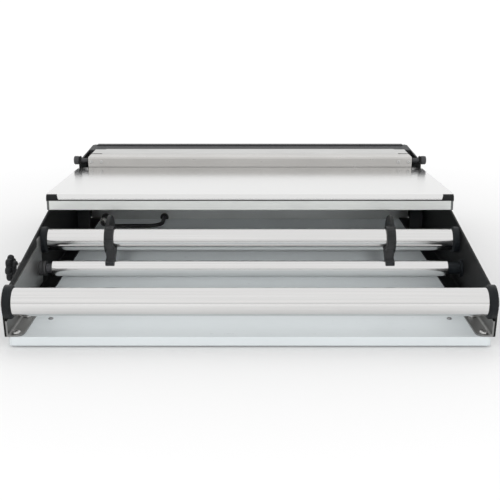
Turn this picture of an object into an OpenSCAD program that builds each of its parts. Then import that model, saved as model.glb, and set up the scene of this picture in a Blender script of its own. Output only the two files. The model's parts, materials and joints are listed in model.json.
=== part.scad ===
/* [Frame] */
// Width over the two side plates
body_w = 485; // [440:1:540]
// Depth from the film roll side to the cutting side
body_d = 557; // [520:1:620]
// Thickness of the base board
base_t = 9.4; // [7:0.2:14]
// How far the base board stops short of each plate's outer face
base_inset = 2.9; // [2.2:0.1:5]
// Radius of the base board's upright corners
base_corner_r = 5; // [3:0.5:12]
// Height of a rubber foot
foot_h = 2; // [1.5:0.5:5]
// Radius of a rubber foot
foot_r = 11; // [8:0.5:15]
// Distance of a foot's centre from the board's edges
foot_inset = 24; // [18:1:40]

/* [Side plates] */
// Sheet thickness of a side plate
plate_t = 2; // [1.6:0.1:3]
// Height of the near corner before it is rounded
plate_near_h = 39.8; // [38:0.2:44]
// How far the near edge leans out at that height
plate_lean = 4.3; // [2:0.1:6]
// Rise of the sloping top edge in degrees
plate_slope = 9.1; // [8.6:0.1:10]
// Radius of the near corner
plate_corner_r = 7; // [4:0.5:9]
// Width of the flange that lies on the base board
flange_w = 16; // [14:0.5:20]
// Inside radius of the bend above that flange
bend_r = 2.3; // [1.5:0.1:3]
// Length of the steel corner bracket along the plate
bracket_len = 60; // [50:1:80]
// Sheet thickness of the corner bracket
bracket_t = 1.5; // [1:0.1:2]
// Height of the corner bracket's upright leg
bracket_h = 17; // [12:0.5:17]

/* [Work table] */
// Distance of the table from the near edge
roll_bay_d = 209.6; // [205:0.1:230]
// Height of the table's near edge above the base board
table_h = 97.3; // [94:0.1:104]
// Fall of the table towards the cutting side in degrees
table_tilt = 2.15; // [0:0.05:3]
// Sheet thickness of the table
table_t = 1.5; // [1:0.1:2]
// Depth of the table's side and far flanges
table_side_h = 10; // [8:0.5:14]
// Radius of the rolled near edge
table_roll_r = 5; // [3.5:0.25:6]
// Width of a corner block
block_w = 12.3; // [10:0.1:16]
// Height of the rail under the near edge
rail_h = 11.05; // [9:0.05:12]
// Depth of that rail
rail_d = 12; // [9:0.5:18]
// Width of the rail's end caps
rail_cap_w = 2.7; // [2:0.1:5]

/* [Rollers] */
// Radius of the front roller
front_r = 14.05; // [13:0.05:15]
// Distance of the front roller's axis from the near edge
front_y = 5.9; // [4:0.1:8]
// Height of the front roller's axis
front_z = 34.6; // [34:0.1:35.4]
// Radius of the middle roller
mid_r = 12.6; // [11:0.1:13]
// Distance of the middle roller's axis from the near edge
mid_y = 173.8; // [172:0.1:178]
// Height of the middle roller's axis
mid_z = 52.4; // [50:0.1:54]
// Radius of the brake roller
brake_r = 8.8; // [8:0.1:10]
// Distance of the brake roller's axis from the near edge
brake_y = 146.7; // [143:0.1:147]
// Height of the brake roller's axis
brake_z = 26; // [24:0.1:27]
// Wall of the roller tubes
tube_wall = 1.6; // [1.2:0.1:2.5]
// Radius of the fixed axles
axle_r = 4; // [3.6:0.1:4.6]

/* [Brake] */
// Radius of the brake knob over its lobes
knob_r = 15.5; // [13:0.5:18]
// Thickness of the brake knob
knob_t = 10.8; // [9:0.1:14]
// Number of lobes on the knob
knob_lobes = 7; // [5:1:9]
// Length of the spring between washer and knob
spring_len = 20.7; // [17:0.1:26]
// Radius of the spring at the middle of its wire
spring_r = 6.2; // [5.6:0.1:7]
// Radius of the spring's wire
wire_r = 0.9; // [0.7:0.05:1.1]

/* [Film guides] */
// Distance of a guide's middle from the side plate's outer face
guide_from_side = 77.8; // [66:0.1:90]
// Thickness of a guide's disc
guide_t = 4.6; // [3.5:0.1:6]
// Radius of a guide's disc
guide_r = 28; // [26:0.5:28.5]

/* [Flap] */
// Distance of the hinge axis from the cutting side
hinge_from_far = 120; // [110:1:126]
// Gap between the flap's end and the side plate's outer face
flap_end_gap = 13.1; // [12.5:0.1:30]
// Height of the flap's face
flap_face_h = 14.1; // [13:0.1:16]
// Depth of the flap's front lip
flap_lip_d = 27; // [22:0.5:32]
// Depth of the flap over lip and cover
flap_d = 72; // [64:0.5:73]
// Radius of a thumb screw's head
thumb_r = 6; // [5:0.5:8]
// Length of a thumb screw's head
thumb_len = 7.6; // [6:0.2:12]

/* [Cutting side] */
// Depth of the box at the cutting side
far_box_d = 74; // [68:1:80]
// Drop from the cover's top to the top of the wall under the table
wall_drop = 17.1; // [15:0.1:24]
// Width of the heated cutting bar
hot_bar_w = 13; // [9:0.5:18]

/* [Lead] */
// Radius of the inner lead
lead_r = 2.8; // [2:0.1:3.2]
// Width of the lead's loop between its two grommets
lead_loop_w = 88; // [70:1:120]
// How far the loop comes out from the wall
lead_loop_d = 52; // [40:1:60]

/* [Hidden] */
$fn = 48;
arc_steps = 8;

// Clearances and overruns
cut = 1;
run_gap = 0.3;
fit_gap = 0.05;
seat_gap = 0.02;

// Widths worked out from the body
half_w = body_w / 2;
inner_x = half_w - plate_t;
base_x = half_w - base_inset;
flange_x = inner_x - flange_w;

// Depths worked out from the body
wall_y = body_d - far_box_d;
hinge_y = body_d - hinge_from_far;
hinge_back = 7;
flap_y = hinge_y - hinge_back;
table_gap = 1.5;
table_end_y = flap_y - table_gap;

// Heights of the tilted table and of what follows it
function surface_z(y) = table_h - (y - roll_bay_d) * tan(table_tilt);
function plate_edge_z(y) = plate_near_h + (y + plate_lean) * tan(plate_slope);
flap_low = surface_z(flap_y);
flap_top = flap_low + flap_face_h;
hinge_up = 8.7;
hinge_z = flap_low + hinge_up;
cross_drop = 2;
cross_z = flap_top - cross_drop;
wall_h = cross_z - wall_drop;

// Screws
screw_r = 3;
head_r = 5.6;
head_h = 3;
bolt_r = 2.5;
bolt_head_r = 4.4;
bolt_head_h = 2.6;
small_screw_r = 1.5;
small_head_r = 2.6;
small_head_h = 1.4;

// Everything is laid out from the near edge of the base board's upper face, and then moved
// so that the origin lies on the ground under the middle of the whole machine
module place() {
    middle_x = (half_w + run_gap + thumb_len - knob_end) / 2;
    middle_y = (front_y - holder_r + body_d) / 2;
    translate([-middle_x, -middle_y, base_t + foot_h]) children();
}

module on_side(side) {
    mirror([side < 0 ? 1 : 0, 0, 0]) children();
}

module both_sides() {
    for (side = [-1, 1]) on_side(side) children();
}

// A flat drawing in Y and Z, drawn out along X
module along_x(from_x, to_x) {
    translate([from_x, 0, 0]) rotate([90, 0, 90]) linear_extrude(to_x - from_x) children();
}

// A flat drawing in X and Z, drawn out along Y
module along_y(from_y, to_y) {
    translate([0, to_y, 0]) rotate([90, 0, 0]) linear_extrude(to_y - from_y) children();
}

module rod_x(from_x, to_x, r) {
    translate([from_x, 0, 0]) rotate([0, 90, 0]) cylinder(h = to_x - from_x, r = r);
}

module ring_x(from_x, to_x, r, bore_r) {
    difference() {
        rod_x(from_x, to_x, r);
        rod_x(from_x - cut, to_x + cut, bore_r);
    }
}

// A turned piece about X, from points of [distance along X, radius]
module turned_x(points) {
    rotate([0, 90, 0]) rotate_extrude() polygon([for (p = points) [p[1], p[0]]]);
}

// Corner geometry for an outline with true round corners
function unit(v) = v / norm(v);
function flat(p) = [p[0], p[1]];
function half_angle(a, c, b) = acos(max(-1, min(1, unit(a - c) * unit(b - c)))) / 2;
function turn(a, c, b) = (c[0] - a[0]) * (b[1] - c[1]) - (c[1] - a[1]) * (b[0] - c[0]);
function reach(a, c, b, r) = r / tan(half_angle(a, c, b));
function touch_points(a, c, b, r) = [for (way = [unit(a - c), unit(b - c)]) c + way * reach(a, c, b, r)];
function round_centre(a, c, b, r) = c + unit(unit(a - c) + unit(b - c)) * r / sin(half_angle(a, c, b));

// The points of the arc that rounds the corner c on the way from a to b
function arc_points(a, c, b, r) = let (
    middle = round_centre(a, c, b, r),
    start = touch_points(a, c, b, r)[0] - middle,
    from_angle = atan2(start[1], start[0]),
    swept = sign(turn(a, c, b)) * (180 - 2 * half_angle(a, c, b))
) [for (k = [0:arc_steps]) middle + r * [
    cos(from_angle + swept * k / arc_steps), sin(from_angle + swept * k / arc_steps)
]];

// An outline of [across, up, corner radius] points, given anticlockwise
module outline(p) {
    n = len(p);
    polygon([for (i = [0:n - 1]) each p[i][2] > 0
        ? arc_points(flat(p[(i + n - 1) % n]), flat(p[i]), flat(p[(i + 1) % n]), p[i][2])
        : [flat(p[i])]
    ]);
}

// A round-headed screw whose head stands on z = 0 and whose shank points down
module screw(r, shank_r, h, shank_len) {
    head_edge_share = 0.45;
    crown_share = 0.55;
    rotate_extrude() polygon([
        [0, -shank_len], [shank_r, -shank_len], [shank_r, 0], [r, 0], [r, h * head_edge_share],
        [r * crown_share, h], [0, h]
    ]);
}

// Base board

screw_y = 51.1;
screw_inset = 34.8;
screw_x = half_w - screw_inset;
screw_len = 6;
bolt_len = 8;
bolt_x = flange_x + flange_w / 2;
bolt_near_y = 7;
bolt_end_gap = 6;
bolt_far_y = bracket_len - bolt_end_gap;

module base_board() {
    color([0.83, 0.86, 0.87]) place() difference() {
        translate([0, body_d / 2, -base_t]) linear_extrude(base_t) outline([
            [-base_x, -body_d / 2, base_corner_r], [base_x, -body_d / 2, base_corner_r],
            [base_x, body_d / 2, base_corner_r], [-base_x, body_d / 2, base_corner_r]
        ]);
        both_sides() {
            translate([screw_x, screw_y, -screw_len - fit_gap]) {
                cylinder(h = screw_len + cut, r = small_screw_r + fit_gap);
            }
            for (y = [bolt_near_y, bolt_far_y]) {
                translate([bolt_x, y, bracket_t - bolt_len - fit_gap]) cylinder(h = bolt_len, r = bolt_r + fit_gap);
            }
        }
    }
}

module rubber_feet() {
    color([0.06, 0.06, 0.07]) place() for (side = [-1, 1], y = [foot_inset, body_d - foot_inset]) {
        translate([side * (base_x - foot_inset), y, -base_t - foot_h]) cylinder(h = foot_h, r = foot_r);
    }
}

module base_screws() {
    color([0.25, 0.25, 0.26]) place() both_sides() {
        translate([screw_x, screw_y, 0]) screw(small_head_r, small_screw_r, small_head_h, screw_len);
    }
}

// Side plates with the flange that lies on the base board

far_corner_r = 6;
step_y = table_end_y + table_gap / 2;
step_r = 3;
ear_r = 6;
stud_r = 3;
seat_drop = table_side_h / cos(table_tilt);
function seat_z(y) = surface_z(y) - seat_drop;
meet_y = (seat_z(0) - plate_edge_z(0)) / (tan(plate_slope) + tan(table_tilt));
flange_start = bracket_len + run_gap;
flange_end = wall_y - run_gap;
post_from_hinge = 49;
post_y = hinge_y - post_from_hinge;
post_screw_z = 14;
post_screw_in = 12;

module plate_sheet() {
    along_x(inner_x, half_w) difference() {
        union() {
            outline([
                [0, 0, 0], [body_d, 0, 0], [body_d, cross_z, far_corner_r],
                [step_y, hinge_z, step_r], [step_y, seat_z(step_y), 0], [meet_y, seat_z(meet_y), 0],
                [-plate_lean, plate_near_h, plate_corner_r]
            ]);
            translate([hinge_y, hinge_z]) circle(ear_r);
        }
        translate([hinge_y, hinge_z]) circle(stud_r + fit_gap);
        translate([front_y, front_z]) circle(screw_r + fit_gap);
        translate([mid_y, mid_z]) circle(screw_r + fit_gap);
        translate([post_y + post_screw_in, post_screw_z]) circle(small_screw_r + fit_gap);
    }
}

module plate_flange() {
    along_y(flange_start, flange_end) outline([
        [flange_x, 0, 0], [half_w - plate_t / 2, 0, 0], [half_w - plate_t / 2, plate_t + bend_r + cut, 0],
        [inner_x, plate_t + bend_r + cut, 0], [inner_x, plate_t, bend_r], [flange_x, plate_t, 0]
    ]);
}

module side_plate(side) {
    bore_r = side < 0 ? axle_r : screw_r;
    color([0.05, 0.05, 0.055]) place() on_side(side) difference() {
        union() {
            plate_sheet();
            plate_flange();
        }
        translate([0, brake_y, brake_z]) rod_x(inner_x - cut, half_w + cut, bore_r + fit_gap);
    }
}

// Satin corner brackets under the front roller

bracket_round_r = 9;

module corner_bracket(side) {
    lean_share = bracket_h / plate_near_h;
    color([0.55, 0.55, 0.54]) place() on_side(side) difference() {
        union() {
            along_x(inner_x - bracket_t, inner_x) outline([
                [0, 0, 0], [bracket_len, 0, 0], [bracket_len, bracket_h, bend_r],
                [-plate_lean * lean_share, bracket_h, 0]
            ]);
            linear_extrude(bracket_t) outline([
                [flange_x, 0, bracket_round_r], [inner_x, 0, 0], [inner_x, bracket_len, 0],
                [flange_x, bracket_len, 0]
            ]);
            along_y(0, bracket_len) outline([
                [inner_x - bracket_t - bend_r - cut, 0, 0], [inner_x, 0, 0],
                [inner_x, bracket_t + bend_r + cut, 0],
                [inner_x - bracket_t, bracket_t + bend_r + cut, 0],
                [inner_x - bracket_t, bracket_t, bend_r],
                [inner_x - bracket_t - bend_r - cut, bracket_t, 0]
            ]);
        }
        for (y = [bolt_near_y, bolt_far_y]) {
            translate([bolt_x, y, -cut]) cylinder(h = bracket_t + 2 * cut, r = bolt_r + fit_gap);
        }
    }
}

module bracket_bolts() {
    color([0.75, 0.75, 0.74]) place() both_sides() for (y = [bolt_near_y, bolt_far_y]) {
        translate([bolt_x, y, bracket_t]) screw(bolt_head_r, bolt_r, bolt_head_h, bolt_len);
    }
}

// Steel plate inside the left side plate that the brake pulls against

brake_plate_t = 1.5;
brake_plate_low = 6;
brake_plate_drop = 4.6;
brake_plate_slope = 6.2;
brake_tab_w = 14;
brake_tab_h = 6.5;
holder_r = 17;
mid_holder_r = 15;
near_end_y = front_y + holder_r + run_gap;
far_end_y = mid_y - mid_holder_r - run_gap;

module brake_plate() {
    near_z = plate_edge_z(near_end_y) - brake_plate_drop;
    far_z = near_z + (far_end_y - near_end_y) * tan(brake_plate_slope);
    tab_y = far_end_y - brake_tab_w;
    color([0.62, 0.62, 0.61]) place() on_side(-1) difference() {
        along_x(inner_x - brake_plate_t, inner_x) outline([
            [near_end_y, bracket_h + run_gap, bend_r], [flange_start, bracket_h + run_gap, 0],
            [flange_start, brake_plate_low, bend_r], [far_end_y, brake_plate_low, bend_r],
            [far_end_y, far_z + brake_tab_h, bend_r], [tab_y, far_z + brake_tab_h, bend_r],
            [tab_y, near_z + (tab_y - near_end_y) * tan(brake_plate_slope), bend_r],
            [near_end_y, near_z, bend_r]
        ]);
        translate([0, brake_y, brake_z]) rod_x(inner_x - brake_plate_t - cut, inner_x + cut, axle_r + fit_gap);
    }
}

// Box at the cutting side: a steel wall, a black cover and the heated bar

wall_t = 1.5;
wall_end_gap = 3;
wall_x = inner_x - wall_end_gap;
wall_foot = 14;
cover_t = 1.5;
cover_gap = 2;
cover_near_y = flap_y + flap_d + cover_gap;
cover_foot = 12;
cover_r = 3;
grommet_wall = 2.2;
grommet_r = lead_r + grommet_wall;
lead_from_side = 114;
lead_x = lead_from_side - half_w;
lead_far_x = lead_x - lead_loop_w;

module far_wall() {
    shelf_y = cover_near_y + cover_t + wall_foot / 2;
    color([0.5, 0.51, 0.5]) place() difference() {
        along_x(-wall_x, wall_x) outline([
            [wall_y, 0, 0], [wall_y + wall_foot, 0, 0], [wall_y + wall_foot, wall_t, 0],
            [wall_y + wall_t, wall_t, 0], [wall_y + wall_t, wall_h - wall_t, 0],
            [shelf_y, wall_h - wall_t, 0], [shelf_y, wall_h, 0], [wall_y, wall_h, wall_t]
        ]);
        for (x = [lead_x, lead_far_x]) {
            translate([x, wall_y - cut, lead_r]) rotate([-90, 0, 0]) {
                cylinder(h = wall_foot + 2 * cut, r = grommet_r + seat_gap);
            }
        }
    }
}

module far_cover() {
    color([0.09, 0.09, 0.1]) place() along_x(-inner_x + seat_gap, inner_x - seat_gap) outline([
        [cover_near_y, wall_h, 0], [cover_near_y + cover_t, wall_h, 0],
        [cover_near_y + cover_t, cross_z - cover_t, 0], [body_d - cover_t, cross_z - cover_t, 0],
        [body_d - cover_t, cover_t, 0], [body_d - cover_foot, cover_t, 0], [body_d - cover_foot, 0, 0],
        [body_d, 0, cover_r / 2], [body_d, cross_z, cover_r], [cover_near_y, cross_z, cover_r / 2]
    ]);
}

hot_bar_h = 1.5;
hot_bar_end_gap = 6;
hot_bar_x = inner_x - hot_bar_end_gap;

module hot_bar() {
    far_y = body_d - cover_r;
    color([0.13, 0.13, 0.14]) place() along_x(-hot_bar_x, hot_bar_x) outline([
        [far_y - hot_bar_w, cross_z, 0], [far_y, cross_z, 0],
        [far_y - hot_bar_h / 2, cross_z + hot_bar_h, hot_bar_h / 2],
        [far_y - hot_bar_w + hot_bar_h / 2, cross_z + hot_bar_h, hot_bar_h / 2]
    ]);
}

// Work table, in a frame of its own that is tilted about its near edge

table_d = (table_end_y - roll_bay_d) / cos(table_tilt);
block_inset = 0.9;
block_x = half_w - block_w - block_inset;
rail_slot = 2.25;
rail_drop = table_roll_r + rail_slot;
rail_x = half_w - table_t - seat_gap - rail_cap_w;
rail_wall = 1.5;
rail_round_r = 0.6;
block_tongue = 9;
block_slant = 2.6;
strip_d = 6;

module tilted() {
    translate([0, roll_bay_d, table_h]) rotate([-table_tilt, 0, 0]) children();
}

module on_table() {
    place() tilted() children();
}

// Front view of a corner block: its inner edge leans in towards the rail
module block_front(gap) {
    lean = block_slant / rail_drop;
    polygon([
        [block_x - block_slant + gap, -rail_drop], [half_w, -rail_drop], [half_w, cut],
        [block_x + lean * cut + gap, cut]
    ]);
}

module table_top() {
    color([0.86, 0.86, 0.85]) on_table() {
        difference() {
            translate([-half_w, table_roll_r, -table_side_h]) {
                cube([body_w, table_d - table_roll_r, table_side_h]);
            }
            translate([-half_w + table_t, table_roll_r - cut, -table_side_h - cut]) {
                cube([body_w - 2 * table_t, table_d - table_roll_r + cut - table_t, table_side_h + cut - table_t]);
            }
        }
        difference() {
            along_x(-block_x, block_x) outline([
                [table_roll_r, -table_t, 0], [table_roll_r, 0, 0], [0, 0, table_roll_r],
                [0, -table_roll_r - table_t / 2, 0], [table_t, -table_roll_r - table_t / 2, 0],
                [table_t, -table_t, table_roll_r - table_t]
            ]);
            both_sides() along_y(-cut, table_roll_r + cut) block_front(0);
        }
    }
}

module table_corner(side) {
    near_d = table_roll_r - seat_gap;
    tongue_x = block_x + seat_gap;
    color([0.07, 0.07, 0.075]) on_table() on_side(side) {
        intersection() {
            along_x(block_x - block_slant, block_x + block_w) outline([
                [0, -rail_drop, 0], [near_d, -rail_drop, 0], [near_d, 0, 0], [0, 0, near_d - seat_gap]
            ]);
            along_y(-cut, near_d + cut) block_front(seat_gap);
        }
        along_x(tongue_x, half_w - table_t - seat_gap) translate([near_d / 2, -rail_drop]) {
            square([near_d / 2 + block_tongue, rail_drop - table_t - seat_gap]);
        }
    }
}

// Dark strip that fills the slot between the table's rolled edge and the rail
module edge_strip() {
    half_len = block_x - block_slant - seat_gap;
    strip_h = rail_drop - table_roll_r - table_t / 2 - 2 * seat_gap;
    color([0.05, 0.05, 0.055]) on_table() translate([-half_len, 0, seat_gap - rail_drop]) {
        cube([2 * half_len, strip_d, strip_h]);
    }
}

module table_rail() {
    color([0.78, 0.8, 0.79]) on_table() translate([0, 0, -rail_drop - rail_h]) difference() {
        along_x(-rail_x, rail_x) outline([
            [0, 0, rail_round_r], [rail_d, 0, 0], [rail_d, rail_h, 0], [0, rail_h, 0]
        ]);
        translate([-rail_x - cut, rail_wall, rail_wall]) {
            cube([2 * (rail_x + cut), rail_d - 2 * rail_wall, rail_h - 2 * rail_wall]);
        }
    }
}

module rail_caps() {
    color([0.42, 0.43, 0.43]) on_table() translate([0, 0, -rail_drop - rail_h]) both_sides() {
        along_x(rail_x, rail_x + rail_cap_w) outline([
            [0, 0, rail_round_r], [rail_d, 0, rail_round_r], [rail_d, rail_h, 0], [0, rail_h, 0]
        ]);
    }
}

// Posts between the base flange and the table

post_t = 1.5;
post_w = 17;
post_d = 20;
post_foot = 2;

module table_post(side) {
    top_z = surface_z(post_y) + cut;
    color([0.16, 0.16, 0.17]) place() on_side(side) difference() {
        union() {
            translate([inner_x - post_w, post_y, plate_t]) cube([post_w - bend_r, post_t, top_z]);
            translate([inner_x - post_t, post_y, plate_t + bend_r]) cube([post_t, post_d, top_z]);
            translate([inner_x - post_w, post_y, plate_t + bend_r]) cube([post_w, post_t, top_z]);
            translate([inner_x - post_w, post_y, plate_t]) {
                cube([post_w - bend_r - post_foot, post_d, post_t]);
            }
        }
        tilted() translate([0, 0, -table_t]) translate([0, 0, table_h / 2]) {
            cube([2 * body_w, 2 * body_d, table_h], center = true);
        }
        translate([0, post_y + post_screw_in, post_screw_z]) {
            rod_x(inner_x - post_t - cut, inner_x + cut, small_screw_r + fit_gap);
        }
    }
}

module post_screws() {
    color([0.75, 0.75, 0.74]) place() both_sides() {
        translate([inner_x - post_t, post_y + post_screw_in, post_screw_z]) rotate([0, -90, 0]) {
            screw(small_head_r, small_screw_r, small_head_h, post_t + plate_t);
        }
    }
}

// Rollers: a tube on two bearings that turn on a fixed axle

bearing_w = 12;
holder_t = 8.1;
mid_holder_t = 8;
front_half = inner_x - holder_t - run_gap;
mid_half = inner_x - mid_holder_t - run_gap;
spacer_len = 16.6;
brake_half = inner_x - spacer_len - run_gap;
tap_len = 14;

module at_front() {
    place() translate([0, front_y, front_z]) children();
}

module at_mid() {
    place() translate([0, mid_y, mid_z]) children();
}

module at_brake() {
    place() translate([0, brake_y, brake_z]) children();
}

module roller_tube(half, r) {
    ring_x(-half, half, r, r - tube_wall);
}

module bearing_pair(half, r) {
    inner_r = r - tube_wall - seat_gap;
    both_sides() ring_x(half - bearing_w, half, inner_r, axle_r + fit_gap);
}

module fixed_axle() {
    difference() {
        rod_x(-inner_x, inner_x, axle_r);
        both_sides() rod_x(inner_x - tap_len, inner_x + cut, screw_r + fit_gap);
    }
}

// A moulded disc that carries the end of an axle
module end_holder(r, thick) {
    edge = thick / 4;
    difference() {
        turned_x([
            [inner_x - thick, 0], [inner_x - thick, r - edge], [inner_x - thick + edge, r],
            [inner_x, r], [inner_x, 0]
        ]);
        rod_x(inner_x - thick - cut, inner_x + cut, axle_r + fit_gap);
    }
}

module front_roller() {
    color([0.8, 0.8, 0.79]) at_front() roller_tube(front_half, front_r);
}

module front_bearings() {
    color([0.3, 0.3, 0.31]) at_front() bearing_pair(front_half, front_r);
}

module front_axle() {
    color([0.66, 0.66, 0.66]) at_front() fixed_axle();
}

module front_holder(side) {
    color([0.1, 0.11, 0.12]) at_front() on_side(side) end_holder(holder_r, holder_t);
}

module mid_roller() {
    color([0.8, 0.8, 0.79]) at_mid() roller_tube(mid_half, mid_r);
}

module mid_bearings() {
    color([0.3, 0.3, 0.31]) at_mid() bearing_pair(mid_half, mid_r);
}

module mid_axle() {
    color([0.66, 0.66, 0.66]) at_mid() fixed_axle();
}

module mid_holder(side) {
    color([0.1, 0.11, 0.12]) at_mid() on_side(side) end_holder(mid_holder_r, mid_holder_t);
}

module axle_screws() {
    shank_len = plate_t + tap_len - cut;
    color([0.7, 0.7, 0.7]) {
        at_front() both_sides() axle_screw(shank_len);
        at_mid() both_sides() axle_screw(shank_len);
        at_brake() axle_screw(shank_len);
    }
}

module axle_screw(shank_len) {
    translate([half_w, 0, 0]) rotate([0, 90, 0]) screw(head_r, screw_r, head_h, shank_len);
}

// Brake roller: its hub rubs on a disc that the spring and knob load

disc_t = 8;
disc_r = 8.3;
hub_r = 5.4;
washer_t = 1.5;
washer_r = 8.4;
disc_face = inner_x - brake_plate_t - disc_t;
hub_end = disc_face - run_gap;
washer_face = half_w + washer_t;
knob_face = washer_face + spring_len + run_gap;
knob_end = knob_face + knob_t;
axle_recess = 3;
axle_end = knob_end - axle_recess;

module brake_roller() {
    color([0.8, 0.8, 0.79]) at_brake() roller_tube(brake_half, brake_r);
}

module brake_bearings() {
    inner_r = brake_r - tube_wall - seat_gap;
    color([0.12, 0.12, 0.13]) at_brake() {
        ring_x(brake_half - bearing_w, brake_half, inner_r, axle_r + fit_gap);
        on_side(-1) difference() {
            turned_x([
                [brake_half - bearing_w, 0], [brake_half - bearing_w, inner_r], [brake_half, inner_r],
                [brake_half, hub_r], [hub_end, hub_r], [hub_end, 0]
            ]);
            rod_x(brake_half - bearing_w - cut, hub_end + cut, axle_r + fit_gap);
        }
    }
}

module brake_axle() {
    color([0.7, 0.7, 0.7]) at_brake() difference() {
        rod_x(-axle_end, inner_x, axle_r);
        rod_x(inner_x - tap_len, inner_x + cut, screw_r + fit_gap);
    }
}

module brake_spacer() {
    flare = 3;
    color([0.1, 0.11, 0.12]) at_brake() difference() {
        turned_x([
            [inner_x - spacer_len, 0], [inner_x - spacer_len, disc_r - flare / 2],
            [inner_x - flare, disc_r - flare / 2], [inner_x - flare, disc_r + flare / 2],
            [inner_x, disc_r + flare / 2], [inner_x, 0]
        ]);
        rod_x(inner_x - spacer_len - cut, inner_x + cut, axle_r + fit_gap);
    }
}

module friction_disc() {
    groove = 1;
    face_x = inner_x - brake_plate_t;
    color([0.08, 0.08, 0.09]) at_brake() on_side(-1) difference() {
        turned_x([
            [disc_face, 0], [disc_face, disc_r], [disc_face + disc_t / 2 - groove, disc_r],
            [disc_face + disc_t / 2, disc_r - groove], [disc_face + disc_t / 2 + groove, disc_r],
            [face_x, disc_r], [face_x, 0]
        ]);
        rod_x(disc_face - cut, face_x + cut, axle_r + fit_gap);
    }
}

module brake_washer() {
    color([0.7, 0.7, 0.7]) at_brake() on_side(-1) ring_x(half_w, washer_face, washer_r, axle_r + fit_gap);
}

// Spring: one round wire swept along a helix, with a short straight lead at each end

spring_turns = 4.5;
rings_per_turn = 8;
wire_sides = 6;
spring_rings = floor(spring_turns * rings_per_turn);
spring_lead = 2 * wire_r;
helix_len = spring_len - 2 * spring_lead;

function helix_point(i) = [
    spring_lead + helix_len * i / spring_rings,
    spring_r * cos(i * 360 / rings_per_turn),
    spring_r * sin(i * 360 / rings_per_turn)
];
spring_path = concat(
    [helix_point(0) - [spring_lead, 0, 0]],
    [for (i = [0:spring_rings]) helix_point(i)],
    [helix_point(spring_rings) + [spring_lead, 0, 0]]
);
function path_way(p, i) = i == 0 ? [1, 0, 0] : i == len(p) - 1 ? [1, 0, 0] : unit(p[i + 1] - p[i - 1]);
function ring_out(q) = unit([0, q[1], q[2]]);
function wire_ring(p, i) = let (w = path_way(p, i), u = ring_out(p[i]), v = cross(w, u)) [
    for (k = [0:wire_sides - 1]) p[i] + wire_r * (u * cos(k * 360 / wire_sides) + unit(v) * sin(k * 360 / wire_sides))
];
function sweep_faces(rings, sides) = concat(
    [for (i = [0:rings - 2], k = [0:sides - 1], half = [0, 1]) half == 0
        ? [i * sides + k, i * sides + (k + 1) % sides, (i + 1) * sides + k]
        : [i * sides + (k + 1) % sides, (i + 1) * sides + (k + 1) % sides, (i + 1) * sides + k]],
    [for (k = [1:sides - 2]) [0, k + 1, k]],
    [for (k = [1:sides - 2]) [(rings - 1) * sides, (rings - 1) * sides + k, (rings - 1) * sides + k + 1]]
);
turn_gaps = [for (i = [0:spring_rings - rings_per_turn])
    norm(helix_point(i + rings_per_turn) - helix_point(i)) - 2 * wire_r];
echo(least_gap_between_spring_turns = min(turn_gaps));

module brake_spring() {
    points = [for (i = [0:len(spring_path) - 1]) each wire_ring(spring_path, i)];
    color([0.72, 0.72, 0.72]) at_brake() on_side(-1) translate([washer_face, 0, 0]) {
        polyhedron(points = points, faces = sweep_faces(len(spring_path), wire_sides), convexity = 6);
    }
}

// Lobed knob with rounded edges and a hub towards the spring

module brake_knob() {
    lobe_r_share = 0.27;
    lobe_r = knob_r * lobe_r_share;
    lobe_at = knob_r - lobe_r;
    round_by = knob_t / 4;
    hub_len = knob_t / 3;
    color([0.1, 0.1, 0.11]) at_brake() on_side(-1) difference() {
        union() {
            intersection() {
                translate([knob_face + hub_len, 0, 0]) rotate([0, 90, 0]) linear_extrude(knob_t - hub_len) {
                    circle(lobe_at);
                    for (i = [0:knob_lobes - 1]) rotate(i * 360 / knob_lobes) translate([lobe_at, 0]) circle(lobe_r);
                }
                turned_x([
                    [knob_face, 0], [knob_face + hub_len, knob_r - round_by],
                    [knob_face + hub_len + round_by / 2, knob_r], [knob_end - round_by, knob_r],
                    [knob_end - round_by / 3, knob_r - round_by / 2], [knob_end, knob_r - 3 * round_by / 2],
                    [knob_end, 0]
                ]);
            }
            rod_x(knob_face, knob_face + hub_len + seat_gap, washer_r);
        }
        rod_x(knob_face - cut, axle_end + run_gap, axle_r + fit_gap);
    }
}

// Film guides: a disc and a saddle that slide along the middle roller, and an arm whose foot
// rests on the brake roller so that the guide can't turn

guide_x = half_w - guide_from_side;
guide_back = 19.2;
guide_drop = 3.9;
saddle_w = 10.2;
saddle_wall = 3;
saddle_r = mid_r + run_gap + saddle_wall;
arm_w = 9.9;
arm_shift = 3.6;
foot_wall = 2.6;
foot_front = 8.2;

// Side view of the arm, from the foot on the brake roller up to the saddle
module arm_side() {
    foot_top = brake_z + brake_r + run_gap + foot_wall;
    foot_low = brake_z + brake_r * 2 / 3;
    front_y = mid_y - saddle_r - run_gap;
    outline([
        [brake_y - foot_front, foot_low, 0], [brake_y + foot_front / 2, foot_low, 0],
        [mid_y - saddle_r * 2 / 3, mid_z - saddle_r * 2 / 3, 0], [mid_y, mid_z, 0],
        [front_y, mid_z + foot_front / 2, foot_wall], [front_y - foot_wall, foot_top + 3 * foot_wall, foot_wall],
        [brake_y, foot_top, foot_wall], [brake_y - foot_front, foot_top - foot_wall, 0]
    ]);
}

// Front view of the arm: it swings towards the middle of the machine on its way down
module arm_front() {
    inner_edge = guide_x + guide_t / 2 - saddle_w;
    outer_edge = guide_x + guide_t / 2;
    low_outer = inner_edge - arm_shift + arm_w;
    bend_z = mid_z - saddle_r / 2;
    outline([
        [inner_edge - arm_shift, 0, 0], [low_outer, 0, 0], [low_outer, bend_z, saddle_wall],
        [outer_edge, mid_z, saddle_wall], [outer_edge, mid_z + saddle_r, 0], [inner_edge, mid_z + saddle_r, 0],
        [inner_edge, mid_z - saddle_wall, saddle_wall / 2], [inner_edge - arm_shift, bend_z, saddle_wall]
    ]);
}

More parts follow.
